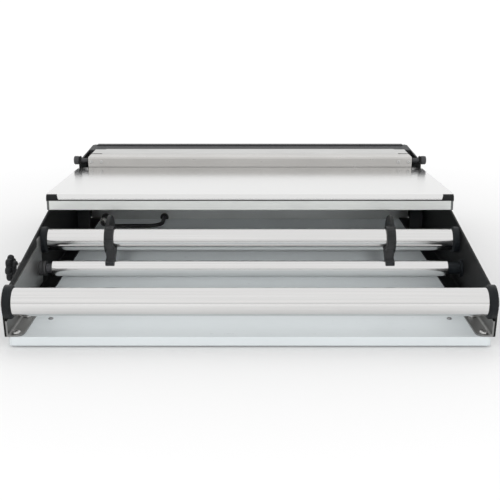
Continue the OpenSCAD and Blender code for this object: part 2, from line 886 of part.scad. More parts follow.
module guide(side) {
    outer_x = guide_x + guide_t / 2;
    color([0.13, 0.13, 0.14]) place() on_side(side) difference() {
        union() {
            translate([0, mid_y + guide_back, mid_z - guide_drop]) turned_x([
                [outer_x - guide_t, 0], [outer_x - guide_t, guide_r - guide_t / 4],
                [outer_x - guide_t * 3 / 4, guide_r], [outer_x - guide_t / 4, guide_r],
                [outer_x, guide_r - guide_t / 4], [outer_x, 0]
            ]);
            translate([0, mid_y, mid_z]) rod_x(outer_x - saddle_w, outer_x, saddle_r);
            intersection() {
                along_x(outer_x - saddle_w - arm_shift - cut, outer_x + cut) arm_side();
                along_y(0, mid_y) arm_front();
            }
        }
        translate([0, mid_y, mid_z]) rod_x(0, half_w, mid_r + run_gap);
        translate([0, brake_y, brake_z]) rod_x(0, half_w, brake_r + run_gap);
    }
}

// Flap over the film slot, hinged on the two thumb screws

flap_t = 1.5;
flap_half = half_w - flap_end_gap;
flap_bend_r = 2.6;
tongue_d = 7;
lap_gap = 1;
notch_w = 15;
notch_d = 5;
block_in = 24;
block_gap = 0.05;
block_end = 1;
stud_in = 22;
flap_screw_up = 7.6;
flap_screw_z = flap_low + flap_screw_up;
flap_screw_far = 18.7;
flap_screw_near = 4.5;
flap_screw_len = 2.2;
fold_h = 8;

module flap_bar() {
    color([0.75, 0.74, 0.72]) place() difference() {
        along_x(-flap_half, flap_half) outline([
            [flap_y, flap_low, 0], [flap_y + flap_t, flap_low, 0],
            [flap_y + flap_t, flap_top - flap_t, flap_bend_r - flap_t],
            [flap_y + flap_lip_d, flap_top - flap_t, 0], [flap_y + flap_lip_d, flap_top, 0],
            [flap_y, flap_top, flap_bend_r]
        ]);
        flap_screw_places() translate([0, 0, -cut]) cylinder(h = flap_t + 2 * cut, r = small_screw_r + fit_gap);
    }
}

// Puts children at each screw, with their z pointing out of the flap's face
module flap_screw_places() {
    both_sides() for (in = [flap_screw_near, flap_screw_far]) {
        translate([flap_half - in, flap_y + flap_t, flap_screw_z]) rotate([90, 0, 0]) children();
    }
}

module flap_cover() {
    seam_y = flap_y + flap_lip_d + lap_gap;
    end_y = flap_y + flap_d;
    color([0.8, 0.8, 0.79]) place() difference() {
        along_x(-flap_half, flap_half) outline([
            [seam_y - tongue_d, flap_top - 2 * flap_t, 0], [seam_y + flap_t, flap_top - 2 * flap_t, 0],
            [seam_y + flap_t, flap_top - flap_t, 0], [end_y - flap_t, flap_top - flap_t, 0],
            [end_y - flap_t, flap_top - fold_h, 0], [end_y, flap_top - fold_h, 0],
            [end_y, flap_top, flap_t], [seam_y, flap_top, 0], [seam_y, flap_top - flap_t, 0],
            [seam_y - tongue_d, flap_top - flap_t, 0]
        ]);
        both_sides() {
            translate([flap_half - notch_w, seam_y - tongue_d - cut, flap_top - fold_h]) {
                cube([notch_w + cut, tongue_d + notch_d + cut, fold_h + cut]);
            }
            translate([flap_half - notch_w, end_y - notch_d, flap_top - fold_h - cut]) {
                cube([notch_w + cut, notch_d + cut, fold_h + 2 * cut]);
            }
        }
    }
}

module hinge_block(side) {
    block_d = 2 * (hinge_back - flap_t);
    near_y = flap_y + flap_t + seat_gap;
    color([0.08, 0.08, 0.085]) place() on_side(side) difference() {
        along_x(flap_half - block_in, flap_half + block_end) outline([
            [near_y, flap_low + block_gap, 0], [near_y + block_d, flap_low + block_gap, 0],
            [near_y + block_d, flap_top - flap_t - block_gap, 0],
            [near_y, flap_top - flap_t - block_gap, flap_bend_r]
        ]);
        translate([0, hinge_y, hinge_z]) rod_x(half_w - plate_t - stud_in - run_gap, half_w, stud_r + fit_gap);
        flap_screw_places() translate([0, 0, -flap_screw_len - cut]) {
            cylinder(h = flap_screw_len + cut, r = small_screw_r + fit_gap);
        }
    }
}

module flap_screws() {
    color([0.8, 0.8, 0.8]) place() flap_screw_places() translate([0, 0, flap_t]) {
        screw(small_head_r, small_screw_r, small_head_h, flap_t + flap_screw_len);
    }
}

module thumb_screw(side) {
    head_at = half_w + run_gap;
    head_end = head_at + thumb_len;
    rounding = thumb_r / 4;
    color([0.2, 0.2, 0.21]) place() on_side(side) translate([0, hinge_y, hinge_z]) turned_x([
        [half_w - plate_t - stud_in, 0], [half_w - plate_t - stud_in, stud_r], [head_at, stud_r],
        [head_at, thumb_r - rounding], [head_at + rounding, thumb_r], [head_end - rounding, thumb_r],
        [head_end, thumb_r - rounding], [head_end, 0]
    ]);
}

// Inner lead that lies on the base in a loop from grommet to grommet

lead_bend_r = 20;
lead_in = 9;

module lead_route() {
    near_y = wall_y - lead_loop_d;
    straight = lead_loop_d - lead_bend_r + lead_in;
    for (x = [lead_x, lead_far_x]) {
        translate([x, near_y + lead_bend_r, lead_r]) rotate([-90, 0, 0]) cylinder(h = straight, r = lead_r);
    }
    translate([lead_far_x + lead_bend_r, near_y, lead_r]) rotate([0, 90, 0]) {
        cylinder(h = lead_loop_w - 2 * lead_bend_r, r = lead_r);
    }
    translate([lead_x - lead_bend_r, near_y + lead_bend_r, lead_r]) rotate([0, 0, -90]) {
        rotate_extrude(angle = 90) translate([lead_bend_r, 0]) circle(lead_r);
    }
    translate([lead_far_x + lead_bend_r, near_y + lead_bend_r, lead_r]) rotate([0, 0, 180]) {
        rotate_extrude(angle = 90) translate([lead_bend_r, 0]) circle(lead_r);
    }
}

module inner_lead() {
    color([0.04, 0.04, 0.04]) place() lead_route();
}

module lead_grommets() {
    lip = 1.2;
    color([0.06, 0.06, 0.06]) place() difference() {
        for (x = [lead_x, lead_far_x]) translate([x, wall_y - lip, lead_r]) rotate([-90, 0, 0]) {
            cylinder(h = wall_foot + lip, r = grommet_r);
            cylinder(h = lip, r = grommet_r + lip);
        }
        for (x = [lead_x, lead_far_x]) translate([x, wall_y - cut - lip, lead_r]) rotate([-90, 0, 0]) {
            cylinder(h = wall_foot + 2 * cut + lip, r = lead_r + seat_gap);
        }
        translate([-half_w, wall_y - wall_foot, -half_w]) cube([body_w, 3 * wall_foot, half_w]);
    }
}

// Saddle clip that holds the lead to the base

clip_w = 9;
clip_wall = 1.6;
clip_ear = 7;
clip_y = wall_y - lead_loop_d / 2;

module lead_clip() {
    color([0.9, 0.9, 0.88]) place() difference() {
        along_y(clip_y - clip_w / 2, clip_y + clip_w / 2) {
            translate([lead_far_x, lead_r]) circle(lead_r + clip_wall);
            translate([lead_far_x - lead_r - clip_wall, 0]) square([2 * (lead_r + clip_wall), lead_r]);
            translate([lead_far_x, 0]) square([lead_r + clip_wall + clip_ear, clip_wall]);
        }
        translate([lead_far_x, clip_y - clip_w, lead_r]) rotate([-90, 0, 0]) {
            cylinder(h = 2 * clip_w, r = lead_r + seat_gap);
        }
        translate([lead_far_x - lead_r - seat_gap, clip_y - clip_w, -cut]) {
            cube([2 * (lead_r + seat_gap), 2 * clip_w, lead_r + cut]);
        }
        translate([-half_w, clip_y - clip_w, -clip_w]) cube([body_w, 2 * clip_w, clip_w]);
    }
}

base_board();
rubber_feet();
side_plate(-1);  // side_plate_left
side_plate(1);  // side_plate_right
corner_bracket(-1);  // corner_bracket_left
corner_bracket(1);  // corner_bracket_right
bracket_bolts();
base_screws();
brake_plate();
far_wall();
far_cover();
hot_bar();
table_top();
table_corner(-1);  // table_corner_left
table_corner(1);  // table_corner_right
edge_strip();
table_rail();
rail_caps();
table_post(-1);  // table_post_left
table_post(1);  // table_post_right
post_screws();
front_roller();
front_bearings();
front_axle();
front_holder(-1);  // front_holder_left
front_holder(1);  // front_holder_right
mid_roller();
mid_bearings();
mid_axle();
mid_holder(-1);  // mid_holder_left
mid_holder(1);  // mid_holder_right
brake_roller();
brake_bearings();
brake_axle();
brake_spacer();
friction_disc();
brake_washer();
brake_spring();
brake_knob();
axle_screws();
guide(-1);  // guide_left
guide(1);  // guide_right
flap_bar();
flap_cover();
hinge_block(-1);  // hinge_block_left
hinge_block(1);  // hinge_block_right
flap_screws();
thumb_screw(-1);  // thumb_screw_left
thumb_screw(1);  // thumb_screw_right
inner_lead();
lead_grommets();
lead_clip();
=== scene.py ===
import json
import math
import bmesh
import bpy
from mathutils import Matrix, Vector


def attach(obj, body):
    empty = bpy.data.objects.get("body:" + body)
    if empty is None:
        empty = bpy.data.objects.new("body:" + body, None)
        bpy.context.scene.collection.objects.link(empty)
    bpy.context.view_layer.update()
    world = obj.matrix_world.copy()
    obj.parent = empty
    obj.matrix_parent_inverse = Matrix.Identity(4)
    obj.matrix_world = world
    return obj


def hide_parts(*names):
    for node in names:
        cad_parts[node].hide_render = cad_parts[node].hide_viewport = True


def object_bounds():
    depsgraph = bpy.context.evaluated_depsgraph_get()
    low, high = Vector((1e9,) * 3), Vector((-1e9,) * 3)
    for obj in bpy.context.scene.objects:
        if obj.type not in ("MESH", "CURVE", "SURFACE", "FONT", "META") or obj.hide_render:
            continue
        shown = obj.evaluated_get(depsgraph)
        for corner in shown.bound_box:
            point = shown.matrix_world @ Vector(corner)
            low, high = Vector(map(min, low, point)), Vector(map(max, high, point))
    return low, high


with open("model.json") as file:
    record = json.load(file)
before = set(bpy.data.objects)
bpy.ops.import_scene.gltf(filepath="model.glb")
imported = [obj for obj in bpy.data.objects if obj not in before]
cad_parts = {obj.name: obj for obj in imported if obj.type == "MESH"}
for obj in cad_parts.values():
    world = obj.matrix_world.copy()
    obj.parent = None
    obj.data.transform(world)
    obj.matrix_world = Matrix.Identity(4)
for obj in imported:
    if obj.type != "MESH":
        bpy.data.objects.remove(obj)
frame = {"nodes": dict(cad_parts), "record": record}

nodes = frame["nodes"]
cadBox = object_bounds()
print("frame loaded:", len(nodes), "nodes")

# camera at the photo's angle, on the machine's centre line
cameraSet = {"place": (0.0127, -1.10495, 0.3384), "down": 15.94, "lens": 64.8, "sensor": 36, "far": 50}
cameraData = bpy.data.cameras.new("camera")
cameraData.lens = cameraSet["lens"]
cameraData.sensor_width = cameraSet["sensor"]
cameraData.clip_end = cameraSet["far"]
camera = bpy.data.objects.new("camera", cameraData)
camera.location = cameraSet["place"]
camera.rotation_euler = (math.radians(90 - cameraSet["down"]), 0, 0)
bpy.context.scene.collection.objects.link(camera)
bpy.context.scene.camera = camera
bpy.context.scene.view_settings.view_transform = "Standard"


# a value carried over from one span to another
def spanOf(tree, value, low, high, fromLow=0.0, fromHigh=1.0):
    node = tree.nodes.new("ShaderNodeMapRange")
    for socket, number in (("From Min", fromLow), ("From Max", fromHigh), ("To Min", low), ("To Max", high)):
        node.inputs[socket].default_value = number
    tree.links.new(value, node.inputs["Value"])
    return node.outputs["Result"]


def joined(tree, kind, a, b):
    node = tree.nodes.new("ShaderNodeMath")
    node.operation = kind
    tree.links.new(a, node.inputs[0])
    tree.links.new(b, node.inputs[1])
    return node.outputs[0]


# small helpers for node materials
class Finish:
    def __init__(self, name, colour, roughness, metallic=0.0, specular=0.5):
        self.material = bpy.data.materials.new(name)
        self.material.use_nodes = True
        self.tree = self.material.node_tree
        self.shader = self.tree.nodes["Principled BSDF"]
        self.shader.inputs["Base Color"].default_value = (*colour, 1)
        self.shader.inputs["Roughness"].default_value = roughness
        self.shader.inputs["Metallic"].default_value = metallic
        self.shader.inputs["Specular IOR Level"].default_value = specular
        self.coords = self.add("ShaderNodeTexCoord").outputs["Object"]

    def add(self, kind, **sets):
        node = self.tree.nodes.new(kind)
        for key, value in sets.items():
            setattr(node, key, value)
        return node

    def link(self, a, b):
        self.tree.links.new(a, b)

    def mapped(self, stretch):
        node = self.add("ShaderNodeMapping")
        node.inputs["Scale"].default_value = stretch
        self.link(self.coords, node.inputs["Vector"])
        return node.outputs["Vector"]

    def noise(self, scale, detail, stretch=None, rough=0.5):
        node = self.add("ShaderNodeTexNoise")
        node.inputs["Scale"].default_value = scale
        node.inputs["Detail"].default_value = detail
        node.inputs["Roughness"].default_value = rough
        self.link(self.mapped(stretch) if stretch else self.coords, node.inputs["Vector"])
        return node.outputs["Fac"]

    # most of a noise lies between 0.3 and 0.7
    def span(self, value, low, high, fromLow=0.3, fromHigh=0.7):
        return spanOf(self.tree, value, low, high, fromLow, fromHigh)

    def blendColours(self, factor, a, b):
        node = self.add("ShaderNodeMix", data_type="RGBA")
        self.link(factor, node.inputs["Factor"])
        for socket, colour in ((node.inputs[6], a), (node.inputs[7], b)):
            if isinstance(colour, tuple):
                socket.default_value = (*colour, 1)
            else:
                self.link(colour, socket)
        return node.outputs[2]

    def colour(self, output):
        self.link(output, self.shader.inputs["Base Color"])

    def roughness(self, output):
        self.link(output, self.shader.inputs["Roughness"])

    # heights are (noise, share of the strength), rounding is how wide an edge looks rounded, in metres
    def bump(self, heights, strength, distance=0.0001, rounding=0.0):
        normal = None
        if rounding:
            edge = self.add("ShaderNodeBevel", samples=4)
            edge.inputs["Radius"].default_value = rounding
            normal = edge.outputs["Normal"]
        for height, share in heights:
            node = self.add("ShaderNodeBump")
            node.inputs["Strength"].default_value = strength * share
            node.inputs["Distance"].default_value = distance
            self.link(height, node.inputs["Height"])
            if normal:
                self.link(normal, node.inputs["Normal"])
            normal = node.outputs["Normal"]
        self.link(normal, self.shader.inputs["Normal"])


def shade(colour, by, plus=0.0):
    return tuple(max(0.0, min(1.0, c * by + plus)) for c in colour)


# scale of a noise whose marks are drawn out along one axis
def drawnOut(along, share):
    return tuple(share if axis == along else 1 for axis in "xyz")


# sheet steel with a fine grain that runs along one axis
def grainedMetal(name, colour, roughness, grain, depth, along="x", cloud=0.05, rounding=0.0004):
    f = Finish(name, colour, roughness, metallic=1.0)
    spread = 0.06
    lines = f.noise(grain, detail=3, stretch=drawnOut(along, 0.012), rough=0.6)
    clouds = f.noise(14, detail=3)
    scuffs = f.noise(160, detail=4, stretch=drawnOut(along, 0.25), rough=0.6)
    tone = f.blendColours(f.span(clouds, 0, 1), shade(colour, 1 - cloud), shade(colour, 1 + cloud * 0.5))
    tone = f.blendColours(f.span(lines, 0, 0.35, fromLow=0.35, fromHigh=0.65), tone, shade(colour, 0.86))
    f.colour(tone)
    f.roughness(f.span(scuffs, roughness - spread, roughness + spread))
    f.bump([(lines, 1.0), (scuffs, 0.3)], strength=depth, rounding=rounding)
    return f.material


# drawn tube: lines run along it, with very fine turning marks across
def drawnTube(name, colour, roughness):
    f = Finish(name, colour, roughness, metallic=1.0)
    lines = f.noise(420, detail=3, stretch=drawnOut("x", 0.01), rough=0.55)
    rings = f.noise(1500, detail=1, stretch=(1, 0.02, 0.02))
    clouds = f.noise(9, detail=3)
    tone = f.blendColours(f.span(lines, 0, 0.5, fromLow=0.35, fromHigh=0.65), colour, shade(colour, 0.86))
    tone = f.blendColours(f.span(clouds, 0, 0.4), tone, shade(colour, 0.93))
    f.colour(tone)
    f.roughness(f.span(clouds, roughness - 0.03, roughness + 0.05))
    f.bump([(lines, 1.0), (rings, 0.25)], strength=0.035)
    return f.material


# powder coat: fine orange peel and a little dust
def powderCoat(name, colour, roughness, peel=2600, depth=0.25, rounding=0.0006):
    f = Finish(name, colour, roughness, specular=0.16)
    peelBumps = f.noise(peel, detail=2)
    dust = f.noise(35, detail=5, rough=0.7)
    speck = f.noise(900, detail=1)
    f.colour(f.blendColours(f.span(dust, 0, 0.5), colour, shade(colour, 1, plus=0.006)))
    f.roughness(f.span(speck, roughness - 0.05, roughness + 0.07))
    f.bump([(peelBumps, 1.0), (dust, 0.15)], strength=depth, distance=0.00012, rounding=rounding)
    return f.material


# painted board: smooth satin paint with the faintest ripple and light marks
def satinPaint(name, colour, roughness):
    f = Finish(name, colour, roughness)
    ripple = f.noise(700, detail=2)
    clouds = f.noise(7, detail=4)
    marks = f.noise(240, detail=4, stretch=drawnOut("x", 0.3), rough=0.65)
    tone = f.blendColours(f.span(clouds, 0, 0.6), colour, shade(colour, 0.965))
    tone = f.blendColours(f.span(marks, 0, 0.25, fromLow=0.55, fromHigh=0.8), tone, shade(colour, 0.9))
    f.colour(tone)
    f.roughness(f.span(marks, roughness - 0.05, roughness + 0.08))
    f.bump([(ripple, 1.0)], strength=0.08, rounding=0.0008)
    return f.material


# moulded plastic: fine spark-eroded texture
def mouldedPlastic(name, colour, roughness, grain=3000):
    f = Finish(name, colour, roughness, specular=0.18)
    spark = f.noise(grain, detail=2)
    clouds = f.noise(60, detail=3)
    f.colour(f.blendColours(f.span(clouds, 0, 1), shade(colour, 0.93), shade(colour, 1.06, plus=0.002)))
    f.roughness(f.span(clouds, roughness - 0.05, roughness + 0.06))
    f.bump([(spark, 1.0)], strength=0.25, distance=0.00008, rounding=0.0005)
    return f.material


# matt rubber with a dusty tone
def softRubber(name, colour, roughness):
    f = Finish(name, colour, roughness)
    spread = 0.06
    grain = f.noise(1800, detail=3)
    dust = f.noise(50, detail=4)
    f.colour(f.blendColours(f.span(dust, 0, 1), colour, shade(colour, 1, plus=0.015)))
    f.roughness(f.span(grain, roughness - spread, roughness + spread))
    f.bump([(grain, 1.0)], strength=0.3, rounding=0.0005)
    return f.material


# pale sheet steel with a soft mirror finish
def brightSheet(name, colour, roughness):
    f = Finish(name, colour, roughness, metallic=1.0)
    spread = 0.012
    lines = f.noise(700, detail=2, stretch=drawnOut("x", 0.01))
    clouds = f.noise(6, detail=2)
    f.colour(f.blendColours(f.span(clouds, 0, 1), shade(colour, 0.985), colour))
    f.roughness(f.span(lines, roughness - spread, roughness + spread))
    f.bump([(lines, 1.0)], strength=0.012, rounding=0.0006)
    return f.material


finishes = {
    "base_white": satinPaint("basePaint", (0.71, 0.755, 0.77), 0.32),
    "rubber_black": softRubber("footRubber", (0.03, 0.03, 0.03), 0.7),
    "side_black": powderCoat("sidePowder", (0.006, 0.0062, 0.0064), 0.5),
    "bracket_steel": grainedMetal("bracketSteel", (0.30, 0.30, 0.295), 0.42, 1400, 0.2, along="y"),
    "brake_steel": grainedMetal("brakePlateSteel", (0.42, 0.42, 0.415), 0.38, 1400, 0.2, along="y"),
    "screw_steel": grainedMetal(
        "screwSteel", (0.62, 0.62, 0.61), 0.25, 2600, 0.15, cloud=0.04, rounding=0.0003
    ),
    "dark_screw": grainedMetal("darkScrew", (0.34, 0.34, 0.345), 0.4, 2600, 0.15, rounding=0.0003),
    "wall_steel": grainedMetal("wallSteel", (0.72, 0.735, 0.73), 0.4, 1400, 0.2),
    "cover_black": powderCoat("coverPowder", (0.03, 0.031, 0.033), 0.5, depth=0.2),
    "hot_bar_black": powderCoat(
        "hotBarCoat", (0.03, 0.03, 0.032), 0.45, peel=1800, depth=0.15, rounding=0.001
    ),
    "table_steel": brightSheet("tableSheet", (0.77, 0.77, 0.765), 0.17),
    "corner_black": mouldedPlastic("cornerPlastic", (0.010, 0.0105, 0.011), 0.5),
    "strip_black": softRubber("stripRubber", (0.02, 0.02, 0.021), 0.6),
    "rail_aluminium": grainedMetal("railAluminium", (0.80, 0.82, 0.80), 0.42, 1100, 0.08),
    "cap_grey": mouldedPlastic("capPlastic", (0.13, 0.135, 0.135), 0.5),
    "post_dark": powderCoat("postPaint", (0.02, 0.021, 0.022), 0.5),
    "roller_steel": drawnTube("rollerTube", (0.76, 0.755, 0.75), 0.13),
    "bearing_dark": mouldedPlastic("bearingPlastic", (0.04, 0.04, 0.043), 0.5),
    "axle_steel": drawnTube("axleRod", (0.6, 0.6, 0.6), 0.25),
    "holder_black": mouldedPlastic("holderPlastic", (0.006, 0.0075, 0.009), 0.42),
    "disc_black": softRubber("discRubber", (0.015, 0.015, 0.016), 0.6),
    "knob_black": mouldedPlastic("knobPlastic", (0.015, 0.0155, 0.017), 0.4),
    "guide_black": mouldedPlastic("guidePlastic", (0.012, 0.0125, 0.013), 0.38, grain=1600),
    "flap_steel": grainedMetal("flapSteel", (0.60, 0.588, 0.57), 0.32, 1500, 0.08),
    "cover_steel": grainedMetal("flapCoverSteel", (0.60, 0.60, 0.59), 0.34, 1500, 0.08),
    "thumb_dark": mouldedPlastic("thumbPlastic", (0.06, 0.061, 0.064), 0.45),
    "lead_black": softRubber("leadSheath", (0.012, 0.012, 0.012), 0.5),
    "clip_white": mouldedPlastic("clipPlastic", (0.72, 0.72, 0.70), 0.5),
}
slotOf = {s["node"]: s["material_slot"] for s in frame["record"]["subparts"]}
for name, node in nodes.items():
    node.data.materials.clear()
    node.data.materials.append(finishes[slotOf[name]])
print("finishes on", len(nodes), "nodes")

# sizes from here to the studio are in millimetres, and nearEdge is where the middle
# of the base board's near top edge lies in the shared frame
perMetre = 1000
nearEdge = (12.7, -272.95, 11.4)
bothSides = (-1, 1)
upwards = (0, 0, 1)
towardsNear = (0, -1, 0)

# depth and height of each axle's centre
axles = {"front": (5.9, 34.6), "mid": (173.8, 52.4), "brake": (146.7, 26)}
# height and place of the table's near edge, and its fall towards the flap in degrees
table = {"h": 97.3, "near": 209.6, "slope": 2.15}


# a point in metres from millimetres across, from the near edge and above the base board
def at(x, y, z):
    return Vector(tuple((own + start) / perMetre for own, start in zip((x, y, z), nearEdge)))


# faces between rings of equal count, closed at both ends
def ringFaces(rings, count):
    faces = []
    for i in range(rings - 1):
        for k in range(count):
            a = i * count + k
            b = i * count + (k + 1) % count
            faces.append((a, b, b + count, a + count))
    faces.append(tuple(reversed(range(count))))
    faces.append(tuple(range((rings - 1) * count, rings * count)))
    return faces


# skin over rings of (height, radius at an angle)
def skinOver(rings, count):
    points = []
    for height, radius in rings:
        for k in range(count):
            angle = 2 * math.pi * k / count
            r = radius(angle)
            across = r * math.cos(angle)
            along = r * math.sin(angle)
            points.append((across / perMetre, along / perMetre, height / perMetre))
    return points, ringFaces(len(rings), count)


# one object from several skins, each with the matrix that sets it in place
def makePiece(name, parts, slotName, body, node, sharp=35):
    points = []
    faces = []
    for (skinPoints, skinFaces), matrix in parts:
        start = len(points)
        points += [matrix @ Vector(p) for p in skinPoints]
        faces += [tuple(start + i for i in face) for face in skinFaces]
    data = bpy.data.meshes.new(name)
    data.from_pydata(points, [], faces)
    data.validate()
    tool = bmesh.new()
    tool.from_mesh(data)
    bmesh.ops.recalc_face_normals(tool, faces=tool.faces)
    for edge in tool.edges:
        if len(edge.link_faces) == 2 and edge.calc_face_angle(0) > math.radians(sharp):
            edge.smooth = False
    for face in tool.faces:
        face.smooth = True
    tool.to_mesh(data)
    tool.free()
    data.materials.append(finishes[slotName])
    piece = bpy.data.objects.new(name, data)
    bpy.context.scene.collection.objects.link(piece)
    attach(piece, body)
    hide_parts(node)


# the turn that points a skin's height along a direction
def facing(place, way):
    return Matrix.Translation(place) @ Vector(way).to_track_quat("Z", "Y").to_matrix().to_4x4()


def always(r):
    return lambda angle: r


# round rings from a table of (height, radius)
def roundRings(pairs):
    return [(height, always(r)) for height, r in pairs]


# knob with seven round lobes that run softly into its core: heights are from its inner face,
# shares are of the lobed outline
knob = {
    "x": -265.0,
    "r": 15.5,
    "lobes": 7,
    "lobeR": 4.19,
    "valleyShare": 0.985,
    "softness": 7.0,
    "hub": ((0.0, 4.1), (0.0, 7.6), (0.5, 8.1), (3.3, 8.4)),
    "neck": (3.6, 0.78),
    "gripFrom": 3.8,
    "gripLong": 6.6,
    "gripShares": (
        (0.0, 0.90), (0.12, 0.955), (0.3, 0.99), (0.5, 1.0),
        (0.7, 0.985), (0.86, 0.95), (0.96, 0.89), (1.0, 0.80),
    ),
    "crown": (10.75, 0.6),
    "dish": ((10.6, 6.4), (10.1, 6.0), (10.1, 4.6), (9.4, 4.3), (7.8, 4.1)),
    "points": 168,
    "sharp": 50,
}


def lobed(scale):
    core = knob["r"] - knob["lobeR"]
    valley = core * knob["valleyShare"]
    softness = knob["softness"]

    def radius(angle):
        step = 2 * math.pi / knob["lobes"]
        off = (angle + step / 2) % step - step / 2
        inside = knob["lobeR"] ** 2 - (core * math.sin(off)) ** 2
        lobe = core * math.cos(off) + math.sqrt(inside) if inside > 0 else 0
        grown = max(valley, lobe)
        if lobe:
            grown += math.log(math.exp(-softness * abs(valley - lobe)) + 1) / softness
        return min(grown, knob["r"]) * scale

    return radius


knobRings = roundRings(knob["hub"])
knobRings.append((knob["neck"][0], lobed(knob["neck"][1])))
for share, inset in knob["gripShares"]:
    knobRings.append((knob["gripFrom"] + share * knob["gripLong"], lobed(inset)))
knobRings.append((knob["crown"][0], lobed(knob["crown"][1])))
knobRings += roundRings(knob["dish"])
knobPart = (skinOver(knobRings, knob["points"]), facing(at(knob["x"], *axles["brake"]), (-1, 0, 0)))
makePiece("knobGrip", [knobPart], "knob_black", "brake_knob", "brake_knob", knob["sharp"])

# spring of round wire with a short straight end each way
spring = {
    "x": -244.0, "r": 6.2, "wireR": 0.9, "long": 20.7, "turns": 4.5, "steps": 150, "points": 12, "sharp": 60
}


def springSkin():
    lead = 2 * spring["wireR"]
    steps = spring["steps"]
    path = [(0.0, spring["r"], 0.0)]
    for i in range(steps + 1):
        angle = 2 * math.pi * spring["turns"] * i / steps
        along = lead + (spring["long"] - 2 * lead) * i / steps
        path.append((along, spring["r"] * math.cos(angle), spring["r"] * math.sin(angle)))
    last = path[-1]
    path.append((spring["long"], last[1], last[2]))
    path = [Vector(p) for p in path]
    points = []
    for i, p in enumerate(path):
        atEnd = i in (0, len(path) - 1)
        way = Vector((1, 0, 0)) if atEnd else (path[i + 1] - path[i - 1]).normalized()
        out = Vector((0, p.y, p.z)).normalized()
        side = way.cross(out).normalized()
        out = side.cross(way).normalized()
        for k in range(spring["points"]):
            angle = 2 * math.pi * k / spring["points"]
            fromWire = out * math.cos(angle) + side * math.sin(angle)
            points.append(tuple((p + spring["wireR"] * fromWire) / perMetre))
    return points, ringFaces(len(path), spring["points"])


springTurn = Matrix.Translation(at(spring["x"], *axles["brake"])) @ Matrix.Rotation(math.pi, 4, "Z")
makePiece("springWire", [(springSkin(), springTurn)], "screw_steel", "frame", "brake_spring", spring["sharp"])
print("knob and spring ready")


# recess outlines for screw heads
def sixSided(r):
    half = math.pi / 6
    return lambda angle: r * math.cos(half) / math.cos((angle + half) % (2 * half) - half)


def crossed(r):
    core = 0.42
    return lambda angle: r * (core + (1 - core) * abs(math.cos(2 * angle)) ** 6)


# domed head with a driven recess: shares are of the head's height and radius
headShape = {
    "rim": ((0.0, 0.97), (0.12, 1.0), (0.42, 0.985)),
    "domeSteps": (0.2, 0.4, 0.6, 0.8),
    "domeFall": 0.40,
    "flat": 0.56,
    "recessFloor": 0.35,
    "recessTaper": 0.9,
    "points": 48,
}
crossDrive = {"drive": crossed, "driveShare": 0.5}
hexDrive = {"drive": sixSided, "driveShare": 0.42}
smallScrew = {"r": 2.6, "h": 1.4, "shank": 1.5, **crossDrive}


# screw head that stands on height 0, with its shank below
def screwHead(screw):
    r = screw["r"]
    h = screw["h"]
    rings = roundRings([(-screw["deep"], screw["shank"]), (0.0, screw["shank"])])
    rings += roundRings([(h * up, r * out) for up, out in headShape["rim"]])
    domeFrom, domeOut = headShape["rim"][-1]
    for share in headShape["domeSteps"]:
        turn = share * math.pi / 2
        up = domeFrom + (1 - domeFrom) * math.sin(turn)
        out = domeOut - headShape["domeFall"] * (1 - math.cos(turn))
        rings.append((h * up, always(r * out)))
    wide = r * screw["driveShare"]
    rings.append((h, always(r * headShape["flat"])))
    rings.append((h, screw["drive"](wide)))
    rings.append((h * headShape["recessFloor"], screw["drive"](wide * headShape["recessTaper"])))
    return skinOver(rings, headShape["points"])


# the same screw at several places, each with the way that its head faces
def screwRow(screw, places):
    skin = screwHead(screw)
    return [(skin, facing(at(*place), way)) for place, way in places]


baseScrew = {**smallScrew, "deep": 6, "x": 207.7, "y": 51.1}
places = [((s * baseScrew["x"], baseScrew["y"], 0), upwards) for s in bothSides]
makePiece("baseScrewHeads", screwRow(baseScrew, places), "dark_screw", "frame", "base_screws")

bolt = {"r": 4.4, "h": 2.6, "shank": 2.5, "deep": 8, **hexDrive, "x": 232.5, "y": (7, 54), "z": 1.5}
places = [((s * bolt["x"], y, bolt["z"]), upwards) for s in bothSides for y in bolt["y"]]
makePiece("boltHeads", screwRow(bolt, places), "screw_steel", "frame", "bracket_bolts")

# the flap's screws keep their height above the sloping table
flapScrew = {
    **smallScrew, "deep": 3.7, "flapEnd": 229.4, "fromEnd": (4.5, 18.7), "y": 430.0, "aboveTable": 7.6
}
tableFall = (flapScrew["y"] - table["near"]) * math.tan(math.radians(table["slope"]))
flapScrewZ = table["h"] - tableFall + flapScrew["aboveTable"]
flapScrewXs = [s * (flapScrew["flapEnd"] - inwards) for s in bothSides for inwards in flapScrew["fromEnd"]]
places = [((x, flapScrew["y"], flapScrewZ), towardsNear) for x in flapScrewXs]
makePiece("flapScrewHeads", screwRow(flapScrew, places), "screw_steel", "flap", "flap_screws")

postScrew = {**smallScrew, "deep": 3.5, "x": 239, "y": 400, "z": 14}
places = [((s * postScrew["x"], postScrew["y"], postScrew["z"]), (-s, 0, 0)) for s in bothSides]
makePiece("postScrewHeads", screwRow(postScrew, places), "screw_steel", "frame", "post_screws")

# the brake's axle has a screw on the right only, because its left end carries the knob
axleScrew = {"r": 5.6, "h": 3.0, "shank": 3.0, "deep": 15, **hexDrive, "x": 242.5}
axleEnds = [(s, axles[word]) for s in bothSides for word in ("front", "mid")] + [(1, axles["brake"])]
places = [((s * axleScrew["x"], *centre), (s, 0, 0)) for s, centre in axleEnds]
makePiece("axleScrewHeads", screwRow(axleScrew, places), "screw_steel", "frame", "axle_screws")

